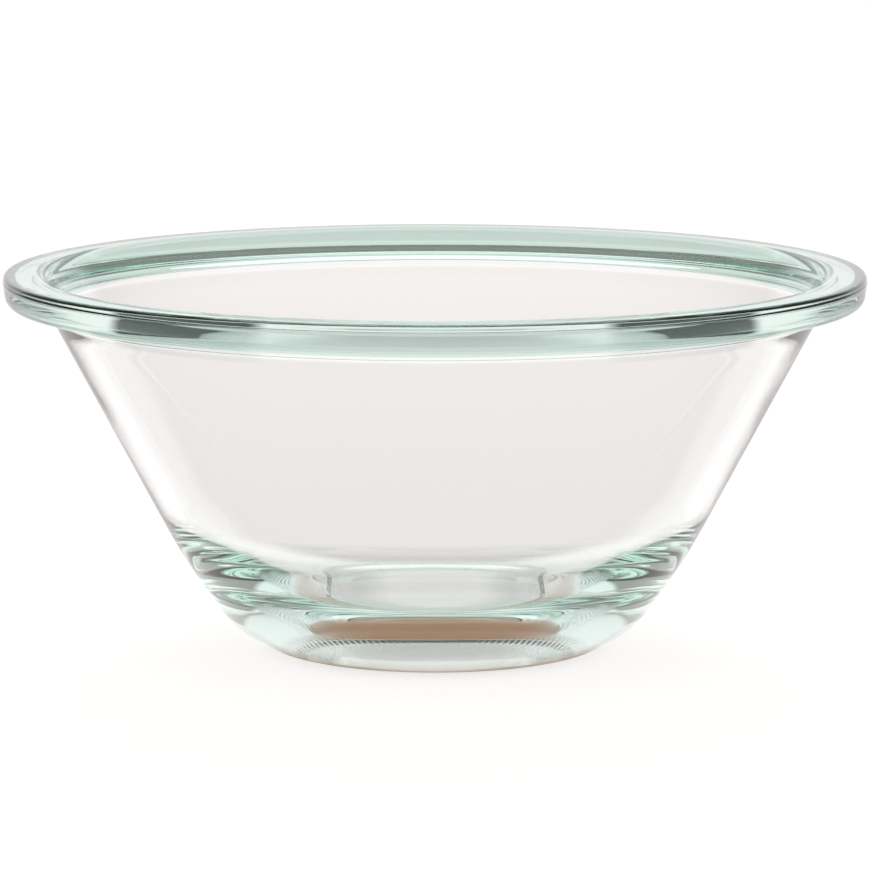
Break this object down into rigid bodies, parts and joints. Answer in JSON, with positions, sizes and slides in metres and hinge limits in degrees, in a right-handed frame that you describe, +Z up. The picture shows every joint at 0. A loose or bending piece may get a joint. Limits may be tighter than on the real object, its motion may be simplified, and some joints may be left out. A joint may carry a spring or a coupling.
{
  "type": "mixing bowl",
  "caption": "Clear pressed-glass mixing bowl with a flared wall, a heavy rolled lip to grip and a thick flat foot.",
  "frame": {"origin": "centre of the foot, on the surface the bowl stands on", "axes": "+Z up along the bowl's axis, out of its mouth; X and Y are any two square directions, because the bowl is round"},
  "size_m": [0.24, 0.24, 0.1064],
  "materials": {
    "clear_glass": "fire-polished clear soda-lime glass with a faint green tint"
  },
  "bodies": {
    "root": {"glass_bowl": "clear_glass"}
  },
  "joints": []
}
